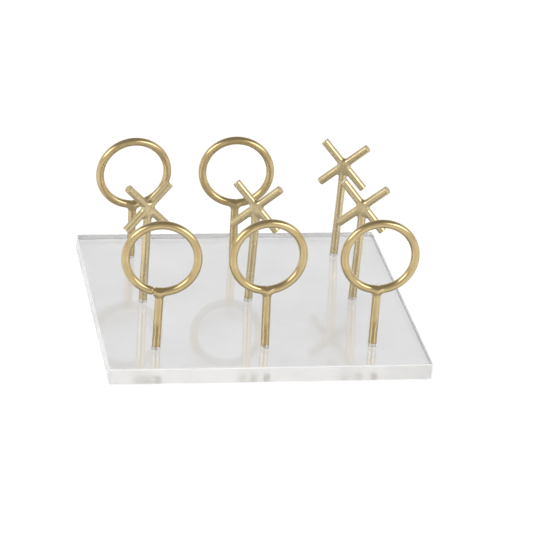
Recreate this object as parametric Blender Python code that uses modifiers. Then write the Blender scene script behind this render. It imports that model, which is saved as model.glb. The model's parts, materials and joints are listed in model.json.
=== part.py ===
"""A tic tac toe set: a clear acrylic board with nine blind holes, and the rod markers standing in them.

Each marker is a peg that lifts out of its hole and turns in it. A nought is a rod bent into a ring and
brazed to its stem. A cross is a through bar with half a bar brazed on each side, brazed to its stem.

Metres, +Z up. The origin is the centre of the board's underside, and the players' near side is -Y.
"""

import math

import bmesh
import bpy
from mathutils import Matrix, Vector

# Board
BOARD_SIDE = 0.1524
BOARD_THICKNESS = 0.008
BOARD_CORNER_RADIUS = 0.0012
BOARD_EDGE_BEVEL = 0.0004
HOLE_PITCH = 0.0516
HOLE_DIAMETER = 0.0046
HOLE_DEPTH = 0.0048

# Markers, with heights above the board's top
ROD_DIAMETER = 0.004
ROD_END_BEVEL = 0.0003
RING_RADIUS = 0.0168
RING_BOTTOM_HEIGHT = 0.0276
CROSS_CENTRE_HEIGHT = 0.0479
BAR_LENGTH = 0.031

# Brazing: the metal that fills the joint between a stem and its head
NOUGHT_BRAZE_DROP = 0.0034
NOUGHT_BRAZE_RISE = 0.0024
CROSS_BRAZE_DROP = 0.0054
CROSS_BRAZE_RISE = 0.0030
BRAZE_FLARE = 0.0006

# Space left between pieces that touch on the real object
GAP = 0.0003

RING_STEPS = 48
ROD_SIDES = 20
HOLE_SIDES = 32
CUTTER_CLEARANCE = 0.001

ROD_RADIUS = ROD_DIAMETER / 2
PEG_END = GAP - HOLE_DEPTH
OBJECT_NAME = "tic_tac_toe_set"

# How each marker stands: its kind, its column and row from the middle hole, the turn of its flat face,
# and how far it leans to the right and away from the players, in degrees
MARKERS = {
    "nought_front_left": ("nought", -1, -1, -6, 1, 0.5),
    "nought_front_middle": ("nought", 0, -1, 3, -1, 1.5),
    "nought_front_right": ("nought", 1, -1, -1, 0.5, 0),
    "cross_middle_left": ("cross", -1, 0, 18, 0.5, 0.5),
    "cross_centre": ("cross", 0, 0, -22, 1.5, 0),
    "cross_middle_right": ("cross", 1, 0, -24, 2, -0.5),
    "nought_back_left": ("nought", -1, 1, 4, -0.5, -1.5),
    "nought_back_middle": ("nought", 0, 1, -5, -1, -0.5),
    "cross_back_right": ("cross", 1, 1, -21, 2, -0.5),
}


def clear_scene():
    """Remove every object that the file starts with."""
    for obj in list(bpy.data.objects):
        bpy.data.objects.remove(obj, do_unlink=True)


def new_collection(name):
    """Add an empty collection to the scene."""
    collection = bpy.data.collections.new(name)
    bpy.context.scene.collection.children.link(collection)
    return collection


def acrylic():
    """Clear cast acrylic with a faint grey edge colour."""
    material = bpy.data.materials.new("clear_acrylic")
    material.use_nodes = True
    shader = material.node_tree.nodes["Principled BSDF"]
    shader.inputs["Base Color"].default_value = (0.93, 0.94, 0.94, 1)
    shader.inputs["Roughness"].default_value = 0.04
    shader.inputs["Metallic"].default_value = 0
    shader.inputs["IOR"].default_value = 1.49
    shader.inputs["Alpha"].default_value = 0.35
    return material


def satin_metal(name, colour, roughness):
    """Plated metal with a satin finish."""
    material = bpy.data.materials.new(name)
    material.use_nodes = True
    shader = material.node_tree.nodes["Principled BSDF"]
    shader.inputs["Base Color"].default_value = (*colour, 1)
    shader.inputs["Roughness"].default_value = roughness
    shader.inputs["Metallic"].default_value = 1
    return material


def add_object(name, data, collection, material=None, parent=None, matrix=None):
    """Link a mesh or curve as a named object, in its parent's space."""
    obj = bpy.data.objects.new(name, data)
    collection.objects.link(obj)
    if material is not None:
        data.materials.append(material)
    obj.parent = parent
    if matrix is not None:
        obj.matrix_local = matrix
    return obj


def hide_cutter(obj):
    """Mark an object as a cutter, which is not part of the set."""
    obj.hide_render = True
    obj.display_type = "WIRE"


def shade_round(mesh):
    """Smooth the round faces and keep the edges sharp."""
    mesh.shade_smooth()
    mesh.set_sharp_from_angle(angle=math.radians(40))


def cylinder_mesh(name, radius, low, high, sides):
    """A capped cylinder about Z from one height to another."""
    bm = bmesh.new()
    middle = Matrix.Translation((0, 0, (low + high) / 2))
    bmesh.ops.create_cone(
        bm,
        cap_ends=True,
        segments=sides,
        radius1=radius,
        radius2=radius,
        depth=high - low,
        matrix=middle,
    )
    mesh = bpy.data.meshes.new(name)
    bm.to_mesh(mesh)
    bm.free()
    shade_round(mesh)
    return mesh


def add_bevel(obj, width, segments):
    """Round an object's sharp edges."""
    bevel = obj.modifiers.new("Bevel", "BEVEL")
    bevel.width = width
    bevel.segments = segments
    bevel.limit_method = "ANGLE"
    bevel.angle_limit = math.radians(60)


def add_cut(obj, cutter):
    """Subtract a cutter from an object."""
    cut = obj.modifiers.new("Cut", "BOOLEAN")
    cut.operation = "DIFFERENCE"
    cut.solver = "EXACT"
    cut.object = cutter


def as_mesh_object(curve_object, collection):
    """Replace a curve object by its mesh, with the end caps welded on."""
    depsgraph = bpy.context.evaluated_depsgraph_get()
    mesh = bpy.data.meshes.new_from_object(curve_object.evaluated_get(depsgraph))
    bm = bmesh.new()
    bm.from_mesh(mesh)
    bmesh.ops.remove_doubles(bm, verts=bm.verts, dist=1e-6)
    bm.to_mesh(mesh)
    bm.free()
    name = curve_object.name
    matrix = curve_object.matrix_world.copy()
    bpy.data.objects.remove(curve_object, do_unlink=True)
    obj = bpy.data.objects.new(name, mesh)
    collection.objects.link(obj)
    obj.matrix_world = matrix
    return obj


def ring_curve(name, rod_radius, opening):
    """A rod bent into a ring in the XZ plane, with its ends an opening apart at the lowest point."""
    curve = bpy.data.curves.new(name, "CURVE")
    curve.dimensions = "3D"
    curve.bevel_depth = rod_radius
    curve.bevel_resolution = 4
    curve.use_fill_caps = True
    spline = curve.splines.new("POLY")
    spline.points.add(RING_STEPS)
    half_opening = opening / 2 / RING_RADIUS
    start = -math.pi / 2 + half_opening
    sweep = 2 * math.pi - 2 * half_opening
    centre_height = RING_BOTTOM_HEIGHT + RING_RADIUS
    for step, point in enumerate(spline.points):
        angle = start + sweep * step / RING_STEPS
        x = RING_RADIUS * math.cos(angle)
        z = centre_height + RING_RADIUS * math.sin(angle)
        point.co = (x, 0, z, 1)
    return curve


def braze_mesh(name, low, high):
    """A turned bead that flares from the stem's radius as it rises to the head."""
    steps = 4
    profile = [(0, high)]
    for step in range(steps + 1):
        rise = 1 - step / steps
        profile.append((ROD_RADIUS + BRAZE_FLARE * rise**2, low + (high - low) * rise))
    profile.append((0, low))
    bm = bmesh.new()
    corners = [bm.verts.new((x, 0, z)) for x, z in profile]
    for first, second in zip(corners, corners[1:]):
        bm.edges.new((first, second))
    mesh = bpy.data.meshes.new(name)
    bm.to_mesh(mesh)
    bm.free()
    return mesh


def add_turned(obj):
    """Turn an object's profile about Z into a closed solid."""
    screw = obj.modifiers.new("Screw", "SCREW")
    screw.axis = "Z"
    screw.steps = ROD_SIDES
    screw.render_steps = ROD_SIDES
    screw.use_merge_vertices = True
    screw.merge_threshold = 0.00001
    screw.use_smooth_shade = True


def bar_matrix(height, degrees):
    """Lay a rod that runs along Z across the marker at a height, tilted from upright in the XZ plane."""
    return Matrix.Translation((0, 0, height)) @ Matrix.Rotation(math.radians(degrees), 4, "Y")


def build_board(parts, cutters):
    """The square board with rounded corners, softened edges and the nine blind holes."""
    bm = bmesh.new()
    size = Matrix.Diagonal((BOARD_SIDE, BOARD_SIDE, BOARD_THICKNESS, 1))
    bmesh.ops.create_cube(bm, size=1, matrix=Matrix.Translation((0, 0, BOARD_THICKNESS / 2)) @ size)
    uprights = [edge for edge in bm.edges if abs(edge.verts[0].co.z - edge.verts[1].co.z) > GAP]
    bmesh.ops.bevel(
        bm,
        geom=uprights,
        offset=BOARD_CORNER_RADIUS,
        segments=4,
        profile=0.5,
        affect="EDGES",
    )
    mesh = bpy.data.meshes.new("board")
    bm.to_mesh(mesh)
    bm.free()
    board = add_object("board", mesh, parts, acrylic())
    add_bevel(board, BOARD_EDGE_BEVEL, 2)
    for row in (-1, 0, 1):
        for column in (-1, 0, 1):
            hole = cylinder_mesh("hole", HOLE_DIAMETER / 2, -HOLE_DEPTH, CUTTER_CLEARANCE, HOLE_SIDES)
            place = Matrix.Translation((column * HOLE_PITCH, row * HOLE_PITCH, BOARD_THICKNESS))
            cutter = add_object(f"hole_cutter_{column + 1}_{row + 1}", hole, cutters, matrix=place)
            hide_cutter(cutter)
            add_cut(board, cutter)


def marker_frame(name, column, row, turn, lean_right, lean_away, parts):
    """An empty at the hole's mouth, with its Z axis along the leaning peg."""
    away = math.tan(math.radians(lean_away))
    right = math.tan(math.radians(lean_right))
    lean = Vector((0, 0, 1)).rotation_difference(Vector((right, away, 1))).to_matrix().to_4x4()
    place = Matrix.Translation((column * HOLE_PITCH, row * HOLE_PITCH, BOARD_THICKNESS))
    frame = add_object(f"{name}_frame", None, parts)
    frame.matrix_world = place @ lean @ Matrix.Rotation(math.radians(turn), 4, "Z")
    bpy.context.view_layer.update()
    return frame


def build_stem(name, top, metal, frame, parts):
    """The peg: a straight rod from just above the hole's floor to just under the head."""
    mesh = cylinder_mesh(f"{name}_stem", ROD_RADIUS, PEG_END, top, ROD_SIDES)
    stem = add_object(f"{name}_stem", mesh, parts, metal, frame)
    add_bevel(stem, ROD_END_BEVEL, 1)


def build_nought(name, metal, frame, parts, cutters):
    """A ring of bent rod on a stem, with a brazed joint under its closed ends."""
    add_object(f"{name}_ring", ring_curve(f"{name}_ring", ROD_RADIUS, GAP), parts, metal, frame)
    braze_low = RING_BOTTOM_HEIGHT - NOUGHT_BRAZE_DROP
    braze_high = braze_low + NOUGHT_BRAZE_RISE
    braze = add_object(f"{name}_braze", braze_mesh(f"{name}_braze", braze_low, braze_high), parts, metal, frame)
    add_turned(braze)
    outline = ring_curve(f"{name}_ring_cutter", ROD_RADIUS + GAP, 0)
    cutter = add_object(f"{name}_ring_cutter", outline, cutters, parent=frame)
    bpy.context.view_layer.update()
    cutter = as_mesh_object(cutter, cutters)
    hide_cutter(cutter)
    add_cut(braze, cutter)
    build_stem(name, braze_low - GAP, metal, frame, parts)


def build_cross(name, metal, frame, parts, cutters):
    """A through bar with half a bar on each side of it, on a stem, with a brazed joint in the lower fork."""
    half = BAR_LENGTH / 2
    through = bar_matrix(CROSS_CENTRE_HEIGHT, -45)
    other = bar_matrix(CROSS_CENTRE_HEIGHT, 45)
    inner_end = ROD_RADIUS + GAP
    bars = {
        "through_bar": (through, -half, half),
        "upper_half_bar": (other, inner_end, half),
        "lower_half_bar": (other, -half, -inner_end),
    }
    for part, (matrix, low, high) in bars.items():
        mesh = cylinder_mesh(f"{name}_{part}", ROD_RADIUS, low, high, ROD_SIDES)
        add_object(f"{name}_{part}", mesh, parts, metal, frame, matrix)
    braze_low = CROSS_CENTRE_HEIGHT - CROSS_BRAZE_DROP
    braze_high = braze_low + CROSS_BRAZE_RISE
    braze = add_object(f"{name}_braze", braze_mesh(f"{name}_braze", braze_low, braze_high), parts, metal, frame)
    add_turned(braze)
    for side, matrix in (("through", through), ("half", other)):
        mesh = cylinder_mesh(f"{name}_{side}_cutter", inner_end, -half, half, ROD_SIDES)
        cutter = add_object(f"{name}_{side}_cutter", mesh, cutters, parent=frame, matrix=matrix)
        hide_cutter(cutter)
        add_cut(braze, cutter)
    build_stem(name, braze_low - GAP, metal, frame, parts)


def build_set():
    """Build the board and every marker."""
    clear_scene()
    parts = new_collection(OBJECT_NAME)
    cutters = new_collection("cutters")
    metals = {
        "nought": satin_metal("warm_satin_gold", (0.72, 0.55, 0.27), 0.3),
        "cross": satin_metal("pale_satin_gold", (0.72, 0.59, 0.34), 0.36),
    }
    builders = {"nought": build_nought, "cross": build_cross}
    build_board(parts, cutters)
    for name, (kind, column, row, turn, lean_right, lean_away) in MARKERS.items():
        frame = marker_frame(name, column, row, turn, lean_right, lean_away, parts)
        builders[kind](name, metals[kind], frame, parts, cutters)


build_set()
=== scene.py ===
"""The looks of the tic tac toe set: a clear acrylic board and satin gold rod markers standing in its holes.

Everything is in metres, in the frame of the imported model. A marker's own space has its origin at the mouth of
its hole, Z along the peg, and its flat face in the XZ plane.
"""

import json
import math

import bmesh
import bpy
import numpy as np
from mathutils import Matrix, Vector


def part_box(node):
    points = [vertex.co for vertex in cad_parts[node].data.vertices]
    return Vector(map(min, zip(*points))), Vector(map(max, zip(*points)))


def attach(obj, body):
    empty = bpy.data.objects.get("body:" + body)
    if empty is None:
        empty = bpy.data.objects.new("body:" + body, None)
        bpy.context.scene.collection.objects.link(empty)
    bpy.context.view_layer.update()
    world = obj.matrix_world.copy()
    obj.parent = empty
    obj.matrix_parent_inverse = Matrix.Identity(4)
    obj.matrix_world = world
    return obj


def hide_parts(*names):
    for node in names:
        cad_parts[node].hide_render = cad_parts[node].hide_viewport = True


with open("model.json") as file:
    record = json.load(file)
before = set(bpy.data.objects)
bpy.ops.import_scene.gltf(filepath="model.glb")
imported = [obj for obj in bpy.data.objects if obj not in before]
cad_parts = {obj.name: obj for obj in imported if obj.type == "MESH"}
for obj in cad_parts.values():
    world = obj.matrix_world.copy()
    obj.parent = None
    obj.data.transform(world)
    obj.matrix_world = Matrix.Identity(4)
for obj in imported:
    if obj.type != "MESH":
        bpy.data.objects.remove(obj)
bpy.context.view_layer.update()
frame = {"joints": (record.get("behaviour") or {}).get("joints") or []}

# The board
BOARD_LOW, BOARD_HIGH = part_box("board")
BOARD_CORNER_RADIUS = 0.0012
BOARD_EDGE_RADIUS = 0.0004

# The markers' rods, with heights above the mouth of the hole
ROD_RADIUS = 0.002
ROD_END_RADIUS = 0.0003
RING_RADIUS = 0.0168
RING_CENTRE = 0.0444
CROSS_CENTRE = 0.0479
BAR_HALF_LENGTH = 0.0155

# Where a head's skin takes over from the stem, and the fillets, seams and cut ends of its rods
NECK_COVER = 0.00001
NECK_DIVE_LENGTH = 0.0006
NECK_DIVE_DEPTH = 0.0003
NOUGHT_NECK = 0.0218
CROSS_NECK = 0.0400
NOUGHT_FILLET = 0.0020
CROSS_FILLET = 0.0016
BAR_END_RADIUS = 0.0002
WEB_SWELL = 0.0001
WEB_SOFTNESS = 0.0003
OPEN_SEAM = (0.0006, 0.0006)
CLOSED_SEAM = (0.00016, 0.0003)
OPEN_SEAM_DEGREES = 5
SEAM_SOFTNESS = 0.00035
STEM_OVERLAP = 0.0015

# Fineness of the meshes, and the area above which a face of the board is one of its flat ones
CELL = 0.00026
STEM_SIDES = 64
HOLE_SIDES = 48
FLAT_FACE_AREA = 0.0001

# Holes: they lean with their pegs and fit them closely. The gap under a peg is left free.
HOLE_RADIUS = 0.0021
HOLE_DEPTH = 0.0048
HOLE_FLOOR_GAP = 0.0003
HOLE_MOUTH_CHAMFER = 0.00005
HOLE_OVERCUT = 0.0005

# The board's materials, by their places on its mesh
FACE, DRILLED, EDGE, RIM = range(4)

# Gold: the light and the dark tone of its patches, and how rough the light and the dark ones are
WARM_GOLD = ((0.52, 0.385, 0.155), (0.44, 0.315, 0.12), 0.20, 0.27)
PALE_GOLD = ((0.56, 0.445, 0.225), (0.49, 0.385, 0.185), 0.25, 0.31)
GOLD_EDGE_TINT = (0.62, 0.52, 0.40)
LACQUER_ROUGHNESS = 0.12
LACQUER_IOR = 1.8

# Gold's surface: how often the drawn lines, the patches and the ripples repeat in a metre, along and across
# the rod, and the depth of the lines and of the ripples
GOLD_LINES = (40, 2600, 2600)
GOLD_PATCHES = (120, 160, 160)
GOLD_RIPPLES = (260, 420, 420)
GOLD_LINE_DEPTH = 0.00002
GOLD_RIPPLE_DEPTH = 0.00006

# Acrylic: its colour, how rough it is where clear and where smeared, and the share of light it lets through
# The grey of the broad faces, top and bottom, is painted shade that keeps the top darker than the white sides.
ACRYLIC_FACE_PAINTED_SHADE = ((0.83, 0.83, 0.835), 0.03, 0.12, 1)
ACRYLIC_EDGE = ((1.0, 0.99, 0.975), 0.17, 0.23, 0.62)
ACRYLIC_RIM = ((1.0, 1.0, 1.0), 0.45, 0.5, 0.05)
ACRYLIC_IOR = 1.49
SMEAR_SCALE = 30
SMEAR_SHADE = 0.93

# Each marker: its kind, the turn of its flat face in degrees, and where the ring's ends meet, in degrees
# round from the stem. A cross has no ring.
MARKERS = {
    "nought_front_left": ("nought", -6, 10),
    "nought_front_middle": ("nought", 3, 0),
    "nought_front_right": ("nought", -1, -3),
    "cross_middle_left": ("cross", 18, 0),
    "cross_centre": ("cross", -22, 0),
    "cross_middle_right": ("cross", -24, 0),
    "nought_back_left": ("nought", 4, 2),
    "nought_back_middle": ("nought", -5, -2),
    "cross_back_right": ("cross", -21, 0),
}

# Camera
CAMERA_AZIMUTH = -10.764
CAMERA_ELEVATION = 24.539
CAMERA_ROLL = 3.864
CAMERA_DISTANCE = 1.4821
CAMERA_LENS = 196.2
CAMERA_TARGET = Vector((0.0172, 0.0250, 0.0080))

# Studio: brightness of the walls, of the part of them behind the camera and of the ceiling. The walls turn
# into the dimmer part between two cosines of the angle from the camera's side, and into ceiling between two
# angles above the horizon, in degrees.
WALL_LIGHT = 0.95
FRONT_LIGHT = 0.7
CEILING_LIGHT = 0.38
FRONT_EDGE = (0.3, 0.85)
CEILING_EDGE = (30, 46)

# Floor: half its width, how far it lies under the board, its own glow, its shade and its polish
FLOOR_REACH = 3
FLOOR_DROP = 0.0003
FLOOR_GLOW = 0.62
FLOOR_SHADE = 0.5
FLOOR_ROUGHNESS = 0.2

# Softboxes: how far round from the front each stands, in degrees, then their height in degrees, distance,
# size, the point they are aimed at, and power
SOFTBOXES = {"softbox_left": -64, "softbox_right": 43}
SOFTBOX_ELEVATION = 30
SOFTBOX_DISTANCE = 1.2
SOFTBOX_SIZE = (0.8, 0.56)
SOFTBOX_TARGET = Vector((0, 0, 0.03))
SOFTBOX_POWER = 3.8


# ---------------------------------------------------------------- materials


def new_material(name):
    """A material with its node tree and its Principled shader."""
    material = bpy.data.materials.new(name)
    material.use_nodes = True
    tree = material.node_tree
    return material, tree, tree.nodes["Principled BSDF"]


def noise(tree, vector, scale, detail, roughness=0.5):
    """A noise texture read at a vector socket."""
    node = tree.nodes.new("ShaderNodeTexNoise")
    node.inputs["Scale"].default_value = scale
    node.inputs["Detail"].default_value = detail
    node.inputs["Roughness"].default_value = roughness
    tree.links.new(vector, node.inputs["Vector"])
    return node.outputs["Fac"]


def ramp(tree, value, low, high, start=0.0, end=1.0):
    """Map a value from low..high to start..end."""
    node = tree.nodes.new("ShaderNodeMapRange")
    node.inputs["From Min"].default_value = low
    node.inputs["From Max"].default_value = high
    node.inputs["To Min"].default_value = start
    node.inputs["To Max"].default_value = end
    tree.links.new(value, node.inputs["Value"])
    return node.outputs["Result"]


def stretched(tree, vector, scale):
    """A vector scaled by a different factor along each axis."""
    node = tree.nodes.new("ShaderNodeMapping")
    node.inputs["Scale"].default_value = scale
    tree.links.new(vector, node.inputs["Vector"])
    return node.outputs["Vector"]


def mix_colours(tree, factor, first, second):
    """A colour between two by a factor."""
    node = tree.nodes.new("ShaderNodeMix")
    node.data_type = "RGBA"
    node.inputs["A"].default_value = (*first, 1)
    node.inputs["B"].default_value = (*second, 1)
    tree.links.new(factor, node.inputs["Factor"])
    return node.outputs["Result"]


def bump(tree, height, strength, distance, normal=None):
    """A bump from a height, over an earlier bump if there is one."""
    node = tree.nodes.new("ShaderNodeBump")
    node.inputs["Strength"].default_value = strength
    node.inputs["Distance"].default_value = distance
    tree.links.new(height, node.inputs["Height"])
    if normal is not None:
        tree.links.new(normal, node.inputs["Normal"])
    return node.outputs["Normal"]


def gold_material(name, light, dark, smooth, rough):
    """Satin gold under clear lacquer: fine drawn lines along the rod, and soft patches of tone and polish."""
    material, tree, shader = new_material(name)
    grain = tree.nodes.new("ShaderNodeAttribute")
    grain.attribute_name = "grain"
    along = grain.outputs["Vector"]
    lines = noise(tree, stretched(tree, along, GOLD_LINES), 1.0, 3)
    patches = noise(tree, stretched(tree, along, GOLD_PATCHES), 1.0, 2)
    ripples = noise(tree, stretched(tree, along, GOLD_RIPPLES), 1.0, 1)
    tone = mix_colours(tree, ramp(tree, patches, 0.3, 0.7), dark, light)
    tree.links.new(tone, shader.inputs["Base Color"])
    tree.links.new(ramp(tree, patches, 0.3, 0.7, rough, smooth), shader.inputs["Roughness"])
    fine = bump(tree, lines, 0.1, GOLD_LINE_DEPTH)
    both = bump(tree, ripples, 0.15, GOLD_RIPPLE_DEPTH, fine)
    tree.links.new(both, shader.inputs["Normal"])
    shader.inputs["Metallic"].default_value = 1
    shader.inputs["Specular Tint"].default_value = (*GOLD_EDGE_TINT, 1)
    shader.inputs["Coat Weight"].default_value = 1
    shader.inputs["Coat Roughness"].default_value = LACQUER_ROUGHNESS
    shader.inputs["Coat IOR"].default_value = LACQUER_IOR
    return material


def acrylic_material(name, colour, clear, smeared, clarity):
    """Clear cast acrylic with faint handling smears, which are rougher than the clear parts."""
    material, tree, shader = new_material(name)
    coordinates = tree.nodes.new("ShaderNodeTexCoord").outputs["Object"]
    smears = ramp(tree, noise(tree, coordinates, SMEAR_SCALE, 4, 0.6), 0.35, 0.7)
    tree.links.new(ramp(tree, smears, 0, 1, clear, smeared), shader.inputs["Roughness"])
    cloudy = [SMEAR_SHADE * part for part in colour]
    tree.links.new(mix_colours(tree, smears, colour, cloudy), shader.inputs["Base Color"])
    shader.inputs["Transmission Weight"].default_value = clarity
    shader.inputs["IOR"].default_value = ACRYLIC_IOR
    return material


def drilled_material():
    """The wall of a hole in acrylic, left pale and slightly frosted by the drill, with its turning marks."""
    material, tree, shader = new_material("drilled_acrylic")
    coordinates = tree.nodes.new("ShaderNodeTexCoord").outputs["Object"]
    turns = noise(tree, stretched(tree, coordinates, (300, 300, 9000)), 1.0, 2)
    tree.links.new(bump(tree, turns, 0.3, 0.00005), shader.inputs["Normal"])
    chalk = mix_colours(tree, noise(tree, coordinates, 900, 2), (0.95, 0.94, 0.92), (0.99, 0.98, 0.97))
    tree.links.new(chalk, shader.inputs["Base Color"])
    shader.inputs["Roughness"].default_value = 0.35
    shader.inputs["Transmission Weight"].default_value = 0.75
    shader.inputs["IOR"].default_value = ACRYLIC_IOR
    return material


# ---------------------------------------------------------------- meshes


def place_piece(name, mesh, body, matrix=Matrix.Identity(4)):
    """Add a mesh as a piece that rides on a body."""
    mesh.transform(matrix)
    piece = bpy.data.objects.new(name, mesh)
    bpy.context.scene.collection.objects.link(piece)
    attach(piece, body)
    return piece


def edges_of(faces):
    """Both directions of every edge of a quad list, for averaging over neighbours."""
    pairs = [faces[:, [corner, (corner + 1) % 4]] for corner in range(4)]
    return np.concatenate(pairs)


def net_faces(inside, index):
    """Quads round every grid edge that crosses the surface, wound to face out."""
    faces = []
    for axis in range(3):
        moved = np.moveaxis(inside, axis, 0)
        cells = np.moveaxis(index, axis, 0)
        crossing = moved[1:] != moved[:-1]
        crossing[:, [0, -1], :] = False
        crossing[:, :, [0, -1]] = False
        i, j, k = np.nonzero(crossing)
        quad = np.stack([cells[i, j - 1, k - 1], cells[i, j, k - 1], cells[i, j, k], cells[i, j - 1, k]], 1)
        flip = moved[i, j, k] ^ (axis == 1)
        quad[~flip] = quad[~flip][:, ::-1]
        faces.append(quad)
    return np.concatenate(faces)


def to_surface(field, points):
    """Move points onto a distance field's zero surface."""
    step = 1e-6
    for _ in range(6):
        value = field(points)
        slope = np.stack([field(points + step * axis) - value for axis in np.eye(3)], 1) / step
        shift = value[:, None] * slope / np.maximum((slope**2).sum(1, keepdims=True), 0.05)
        points = points - np.clip(shift, -CELL, CELL)
    return points


def surface_net(name, field, low, high):
    """Mesh the zero surface of a distance field: a vertex in each crossed cell, evened out and set on it."""
    axes = [np.arange(start, end + CELL, CELL) for start, end in zip(low, high)]
    grid = np.stack(np.meshgrid(*axes, indexing="ij"), -1)
    inside = field(grid.reshape(-1, 3)).reshape(grid.shape[:3]) < 0
    ends = (slice(None, -1), slice(1, None))
    corners = [inside[x, y, z] for x in ends for y in ends for z in ends]
    filled = sum(corner.astype(int) for corner in corners)
    active = (filled > 0) & (filled < 8)
    index = np.full(active.shape, -1)
    index[active] = np.arange(active.sum())
    faces = net_faces(inside, index)
    points = grid[:-1, :-1, :-1][active] + CELL / 2
    points = to_surface(field, points)
    pairs = edges_of(faces)
    count = np.bincount(pairs[:, 0], minlength=len(points))[:, None]
    for _ in range(3):
        total = [np.bincount(pairs[:, 0], points[pairs[:, 1], axis], len(points)) for axis in range(3)]
        points = to_surface(field, 0.5 * points + 0.5 * np.stack(total, 1) / count)
    mesh = bpy.data.meshes.new(name)
    mesh.from_pydata(points.tolist(), [], faces.tolist())
    mesh.shade_smooth()
    return mesh, points


def smooth_union(first, second, reach):
    """Union of two distance fields with a fillet between them."""
    blend = np.clip(0.5 + 0.5 * (second - first) / reach, 0, 1)
    return second + (first - second) * blend - reach * blend * (1 - blend)


def smooth_cut(solid, cutter, reach):
    """A solid less a cutter, with a soft edge."""
    return -smooth_union(-solid, cutter, reach)


def rod_field(across, along, radius, half, edge):
    """Distance to a straight rod with rounded end edges, from the distances across and along it."""
    out = np.stack([across - (radius - edge), np.abs(along) - (half - edge)])
    outside = np.sqrt((np.maximum(out, 0) ** 2).sum(0))
    return np.minimum(out.max(0), 0) + outside - edge


def neck_field(points, low, high):
    """The end of the stem that the head covers: it dives under the stem's surface at its lower end."""
    x, y, z = points.T
    dive = np.clip((low - z) / NECK_DIVE_LENGTH, 0, 1) ** 2 * NECK_DIVE_DEPTH
    across = np.hypot(x, y) - (ROD_RADIUS + NECK_COVER - dive)
    return np.maximum(across, np.maximum(low - NECK_DIVE_LENGTH - z, z - high))


def set_grain(mesh, along, first, second):
    """Store coordinates as on a straightened rod, so that drawn lines follow the rod."""
    grain = mesh.attributes.new("grain", "FLOAT_VECTOR", "POINT")
    values = np.stack([along, first, second], 1).astype(np.float32)
    grain.data.foreach_set("vector", values.ravel())


def nought_mesh(name, seam_degrees):
    """The ring with its closed seam, flared into the neck of the stem, as one skin of plated metal."""
    seam = math.radians(-90 - seam_degrees)
    seam_point = np.array([math.cos(seam), 0, math.sin(seam)]) * RING_RADIUS
    seam_along = np.array([-math.sin(seam), 0, math.cos(seam)])
    seam_width, notch_depth = OPEN_SEAM if seam_degrees > OPEN_SEAM_DEGREES else CLOSED_SEAM

    def field(points):
        x, y, z = points.T
        z = z - RING_CENTRE
        from_ring = np.hypot(x, z) - RING_RADIUS
        tube = np.hypot(from_ring, y) - ROD_RADIUS
        offset = np.stack([x, y, z], 1) - seam_point
        slit = np.abs(offset @ seam_along) - seam_width / 2
        skin = -(tube + notch_depth)
        near = np.linalg.norm(offset, axis=1) - 2 * ROD_RADIUS
        tube = smooth_cut(tube, np.maximum(np.maximum(slit, skin), near), SEAM_SOFTNESS + seam_width / 2)
        neck = neck_field(points, NOUGHT_NECK, RING_CENTRE - RING_RADIUS)
        return smooth_union(tube, neck, NOUGHT_FILLET)

    reach = RING_RADIUS + ROD_RADIUS + 2 * CELL
    low = (-reach, -ROD_RADIUS - 4 * CELL, NOUGHT_NECK - 0.001)
    high = (reach, ROD_RADIUS + 4 * CELL, RING_CENTRE + reach)
    mesh, points = surface_net(name, field, low, high)
    x, y, z = points.T
    z = z - RING_CENTRE
    angle = np.mod(np.arctan2(z, x) - seam, 2 * math.pi)
    set_grain(mesh, angle * RING_RADIUS, np.hypot(x, z) - RING_RADIUS, y)
    return mesh


def cross_mesh(name):
    """The two crossed bars with cut ends, webbed together at the crossing and flared into the neck."""

    def bars(points):
        x, y, z = points.T
        z = z - CROSS_CENTRE
        first = (z - x) / math.sqrt(2)
        second = (z + x) / math.sqrt(2)
        one = rod_field(np.hypot(second, y), first, ROD_RADIUS, BAR_HALF_LENGTH, BAR_END_RADIUS)
        other = rod_field(np.hypot(first, y), second, ROD_RADIUS, BAR_HALF_LENGTH, BAR_END_RADIUS)
        return one, other, first, second

    def field(points):
        one, other, _, _ = bars(points)
        neck = neck_field(points, CROSS_NECK, CROSS_CENTRE)
        webbed = smooth_union(smooth_union(one, other, CROSS_FILLET), neck, CROSS_FILLET)
        return smooth_cut(webbed, ROD_RADIUS + WEB_SWELL - np.abs(points[:, 1]), WEB_SOFTNESS)

    reach = (BAR_HALF_LENGTH + ROD_RADIUS) / math.sqrt(2) + 2 * CELL
    low = (-reach, -ROD_RADIUS - 6 * CELL, min(CROSS_NECK - 0.001, CROSS_CENTRE - reach))
    high = (reach, ROD_RADIUS + 6 * CELL, CROSS_CENTRE + reach)
    mesh, points = surface_net(name, field, low, high)
    one, other, first, second = bars(points)
    on_first = one < other
    along = np.where(on_first, first, second + 0.1)
    across = np.where(on_first, second, first)
    set_grain(mesh, along, across, points[:, 1])
    return mesh


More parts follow.
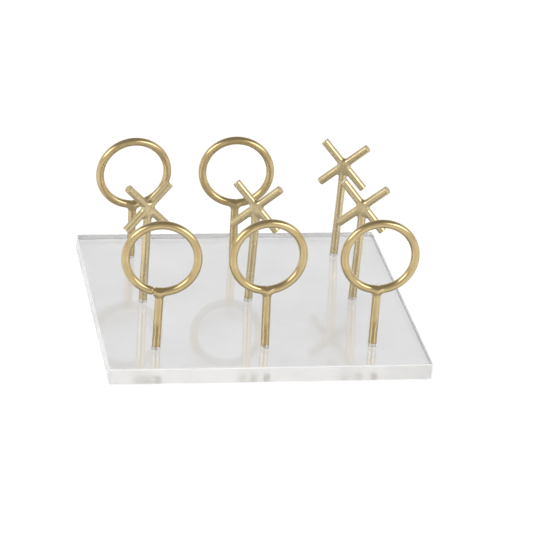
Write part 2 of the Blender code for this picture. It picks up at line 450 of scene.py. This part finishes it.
def stem_mesh(name, top):
    """The peg: a round rod with a softened lower end, running up into the head."""
    bottom = HOLE_FLOOR_GAP - HOLE_DEPTH
    profile = [(0.0, bottom), (ROD_RADIUS - ROD_END_RADIUS, bottom)]
    for step in range(1, 5):
        angle = math.pi / 2 * step / 4
        profile.append((
            ROD_RADIUS - ROD_END_RADIUS * (1 - math.sin(angle)),
            bottom + ROD_END_RADIUS * (1 - math.cos(angle)),
        ))
    profile += [(ROD_RADIUS, bottom + (top - bottom) * share) for share in (0.25, 0.5, 0.75)]
    profile += [(ROD_RADIUS, top), (0.0, top)]
    bm = bmesh.new()
    corners = [bm.verts.new((x, 0, z)) for x, z in profile]
    edges = [bm.edges.new(pair) for pair in zip(corners, corners[1:])]
    bmesh.ops.spin(
        bm,
        geom=corners + edges,
        cent=(0, 0, 0),
        axis=(0, 0, 1),
        angle=2 * math.pi,
        steps=STEM_SIDES,
        use_merge=True,
    )
    bmesh.ops.remove_doubles(bm, verts=bm.verts, dist=1e-7)
    bmesh.ops.recalc_face_normals(bm, faces=bm.faces)
    mesh = bpy.data.meshes.new(name)
    bm.to_mesh(mesh)
    bm.free()
    mesh.shade_smooth()
    mesh.set_sharp_from_angle(angle=math.radians(50))
    co = np.empty(len(mesh.vertices) * 3)
    mesh.vertices.foreach_get("co", co)
    x, y, z = co.reshape(-1, 3).T
    set_grain(mesh, z, x, y)
    return mesh


def finish_board_faces(mesh):
    """Give the board's sides, its rims and its broad faces their materials, and keep the flat ones flat.

    The rims of the flat faces are sharp, so that the rounded edges don't bend their shading.
    """
    bm = bmesh.new()
    bm.from_mesh(mesh)
    for face in bm.faces:
        if face.calc_area() > FLAT_FACE_AREA:
            for edge in face.edges:
                edge.smooth = False
        if face.material_index == FACE and abs(face.normal.z) < 0.99:
            face.material_index = EDGE if abs(face.normal.z) < 0.01 else RIM
    bm.to_mesh(mesh)
    bm.free()


def board_mesh():
    """The board: rounded corners, softened edges, and nine blind holes with drilled walls."""
    size = BOARD_HIGH - BOARD_LOW
    bm = bmesh.new()
    middle = Matrix.Translation((BOARD_LOW + BOARD_HIGH) / 2)
    bmesh.ops.create_cube(bm, size=1, matrix=middle @ Matrix.Diagonal((*size, 1)))
    uprights = [edge for edge in bm.edges if abs(edge.verts[0].co.z - edge.verts[1].co.z) > size.z / 2]
    bmesh.ops.bevel(bm, geom=uprights, offset=BOARD_CORNER_RADIUS, segments=6, profile=0.5, affect="EDGES")
    rims = [edge for edge in bm.edges if abs(edge.verts[0].co.z - edge.verts[1].co.z) < size.z / 4]
    bmesh.ops.bevel(bm, geom=rims, offset=BOARD_EDGE_RADIUS, segments=4, profile=0.5, affect="EDGES")
    mesh = bpy.data.meshes.new("board_blank")
    bm.to_mesh(mesh)
    bm.free()
    blank = bpy.data.objects.new("board_blank", mesh)
    bpy.context.scene.collection.objects.link(blank)
    # The broad faces' grey tint is painted shade; the sides and rims stay white.
    blank.data.materials.append(acrylic_material("acrylic_face_painted_shade", *ACRYLIC_FACE_PAINTED_SHADE))
    blank.data.materials.append(drilled_material())
    blank.data.materials.append(acrylic_material("polished_acrylic_edge", *ACRYLIC_EDGE))
    blank.data.materials.append(acrylic_material("softened_acrylic_rim", *ACRYLIC_RIM))

    bm = bmesh.new()
    profile = [
        (0.0, -HOLE_DEPTH),
        (HOLE_RADIUS, -HOLE_DEPTH),
        (HOLE_RADIUS, -HOLE_MOUTH_CHAMFER),
        (HOLE_RADIUS + HOLE_MOUTH_CHAMFER + HOLE_OVERCUT, HOLE_OVERCUT),
        (0.0, HOLE_OVERCUT),
    ]
    for name in MARKERS:
        matrix = marker_matrix(name, 0)
        corners = [bm.verts.new(matrix @ Vector((x, 0, z))) for x, z in profile]
        edges = [bm.edges.new(pair) for pair in zip(corners, corners[1:])]
        bmesh.ops.spin(
            bm,
            geom=corners + edges,
            cent=matrix.translation,
            axis=matrix.to_3x3() @ Vector((0, 0, 1)),
            angle=2 * math.pi,
            steps=HOLE_SIDES,
            use_merge=True,
        )
    bmesh.ops.remove_doubles(bm, verts=bm.verts, dist=1e-7)
    bmesh.ops.recalc_face_normals(bm, faces=bm.faces)
    for face in bm.faces:
        face.material_index = DRILLED
    mesh = bpy.data.meshes.new("holes")
    bm.to_mesh(mesh)
    bm.free()
    holes = bpy.data.objects.new("holes", mesh)
    bpy.context.scene.collection.objects.link(holes)
    for material in blank.data.materials:
        holes.data.materials.append(material)
    cut = blank.modifiers.new("Cut", "BOOLEAN")
    cut.operation = "DIFFERENCE"
    cut.solver = "EXACT"
    cut.object = holes
    depsgraph = bpy.context.evaluated_depsgraph_get()
    mesh = bpy.data.meshes.new_from_object(blank.evaluated_get(depsgraph))
    mesh.name = "acrylic_board"
    for scrap in (blank, holes):
        bpy.data.objects.remove(scrap, do_unlink=True)
    mesh.shade_smooth()
    mesh.set_sharp_from_angle(angle=math.radians(30))
    finish_board_faces(mesh)
    return mesh


# ---------------------------------------------------------------- the set


def marker_matrix(name, turn):
    """A marker's own space, from its turning joint's place and axis and the turn of its face."""
    joint = next(joint for joint in frame["joints"] if joint["name"] == f"{name}_turn")
    lean = Vector((0, 0, 1)).rotation_difference(Vector(joint["axis"])).to_matrix().to_4x4()
    return Matrix.Translation(joint["pos_m"]) @ lean @ Matrix.Rotation(math.radians(turn), 4, "Z")


def build_markers():
    """Each marker's head and peg."""
    metals = {
        "nought": gold_material("warm_satin_gold", *WARM_GOLD),
        "cross": gold_material("pale_satin_gold", *PALE_GOLD),
    }
    for name, (kind, turn, seam) in MARKERS.items():
        matrix = marker_matrix(name, turn)
        if kind == "nought":
            mesh = nought_mesh(f"{name}_head", seam)
            parts = ("ring", "braze")
            top = NOUGHT_NECK + STEM_OVERLAP
        else:
            mesh = cross_mesh(f"{name}_head")
            parts = ("through_bar", "upper_half_bar", "lower_half_bar", "braze")
            top = CROSS_NECK + STEM_OVERLAP
        mesh.materials.append(metals[kind])
        head = place_piece(f"{name}_plated_head", mesh, f"{name}_head", matrix)
        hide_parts(*[f"{name}_{part}" for part in parts])
        mesh = stem_mesh(f"{name}_peg", top)
        mesh.materials.append(metals[kind])
        peg = place_piece(f"{name}_plated_stem", mesh, f"{name}_peg", matrix)
        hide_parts(f"{name}_stem")


def build_board():
    """The acrylic board."""
    board = place_piece("acrylic_board", board_mesh(), "board")
    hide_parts("board")


# ---------------------------------------------------------------- stage


def build_floor():
    """A plain pale floor just under the board, lit from within like a studio light table."""
    bm = bmesh.new()
    bmesh.ops.create_grid(bm, x_segments=1, y_segments=1, size=FLOOR_REACH)
    mesh = bpy.data.meshes.new("floor")
    bm.to_mesh(mesh)
    bm.free()
    floor = bpy.data.objects.new("floor", mesh)
    floor.location = (0, 0, -FLOOR_DROP)
    bpy.context.scene.collection.objects.link(floor)
    material, tree, shader = new_material("pale_floor")
    shader.inputs["Base Color"].default_value = (FLOOR_SHADE, FLOOR_SHADE, FLOOR_SHADE, 1)
    shader.inputs["Roughness"].default_value = FLOOR_ROUGHNESS
    shader.inputs["Specular IOR Level"].default_value = 1
    shader.inputs["Emission Color"].default_value = (1, 1, 1, 1)
    shader.inputs["Emission Strength"].default_value = FLOOR_GLOW
    mesh.materials.append(material)


def add_softbox(name, azimuth):
    """A rectangular studio light aimed at the middle of the set."""
    light = bpy.data.lights.new(name, "AREA")
    light.shape = "RECTANGLE"
    light.size, light.size_y = SOFTBOX_SIZE
    light.energy = SOFTBOX_POWER
    lamp = bpy.data.objects.new(name, light)
    turn, rise = math.radians(azimuth), math.radians(SOFTBOX_ELEVATION)
    back = Vector((math.sin(turn) * math.cos(rise), -math.cos(turn) * math.cos(rise), math.sin(rise)))
    lamp.location = back * SOFTBOX_DISTANCE + SOFTBOX_TARGET
    lamp.rotation_euler = back.to_track_quat("Z", "Y").to_euler()
    bpy.context.scene.collection.objects.link(lamp)


def build_world():
    """Pale studio walls, dimmer behind the camera, under a dim ceiling."""
    world = bpy.data.worlds.new("studio")
    bpy.context.scene.world = world
    world.use_nodes = True
    tree = world.node_tree
    background = tree.nodes["Background"]
    direction = tree.nodes.new("ShaderNodeTexCoord").outputs["Generated"]
    split = tree.nodes.new("ShaderNodeSeparateXYZ")
    tree.links.new(direction, split.inputs["Vector"])
    towards = tree.nodes.new("ShaderNodeVectorMath")
    towards.operation = "DOT_PRODUCT"
    turn = math.radians(CAMERA_AZIMUTH)
    towards.inputs[1].default_value = (math.sin(turn), -math.cos(turn), 0)
    tree.links.new(direction, towards.inputs[0])
    walls = ramp(tree, towards.outputs["Value"], *FRONT_EDGE, WALL_LIGHT, FRONT_LIGHT)
    low_edge, high_edge = (math.sin(math.radians(angle)) for angle in CEILING_EDGE)
    ceiling = ramp(tree, split.outputs["Z"], low_edge, high_edge)
    mix = tree.nodes.new("ShaderNodeMix")
    mix.data_type = "FLOAT"
    tree.links.new(ceiling, mix.inputs["Factor"])
    tree.links.new(walls, mix.inputs["A"])
    mix.inputs["B"].default_value = CEILING_LIGHT
    tree.links.new(mix.outputs["Result"], background.inputs["Strength"])
    background.inputs["Color"].default_value = (1, 1, 1, 1)


def build_camera():
    """A long lens from the front left, a little above the set."""
    turn, rise, roll = map(math.radians, (CAMERA_AZIMUTH, CAMERA_ELEVATION, CAMERA_ROLL))
    back = Vector((math.sin(turn) * math.cos(rise), -math.cos(turn) * math.cos(rise), math.sin(rise)))
    right = (-back).cross(Vector((0, 0, 1))).normalized()
    up = right.cross(-back)
    rolled_right = right * math.cos(roll) + up * math.sin(roll)
    rolled_up = up * math.cos(roll) - right * math.sin(roll)
    data = bpy.data.cameras.new("camera")
    data.lens = CAMERA_LENS
    data.sensor_width = 36
    data.clip_end = 20
    camera = bpy.data.objects.new("camera", data)
    camera.matrix_world = Matrix.Translation(CAMERA_TARGET + back * CAMERA_DISTANCE) @ Matrix(
        (rolled_right, rolled_up, back)
    ).transposed().to_4x4()
    bpy.context.scene.collection.objects.link(camera)
    bpy.context.scene.camera = camera


def set_light_paths():
    """Plain colours, and enough bounces for light to cross the board by total reflection inside it."""
    scene = bpy.context.scene
    scene.view_settings.view_transform = "Standard"
    scene.cycles.max_bounces = 24
    scene.cycles.glossy_bounces = 20
    scene.cycles.transmission_bounces = 20


build_board()
build_markers()
build_floor()
for name, azimuth in SOFTBOXES.items():
    add_softbox(name, azimuth)
build_world()
build_camera()
set_light_paths()
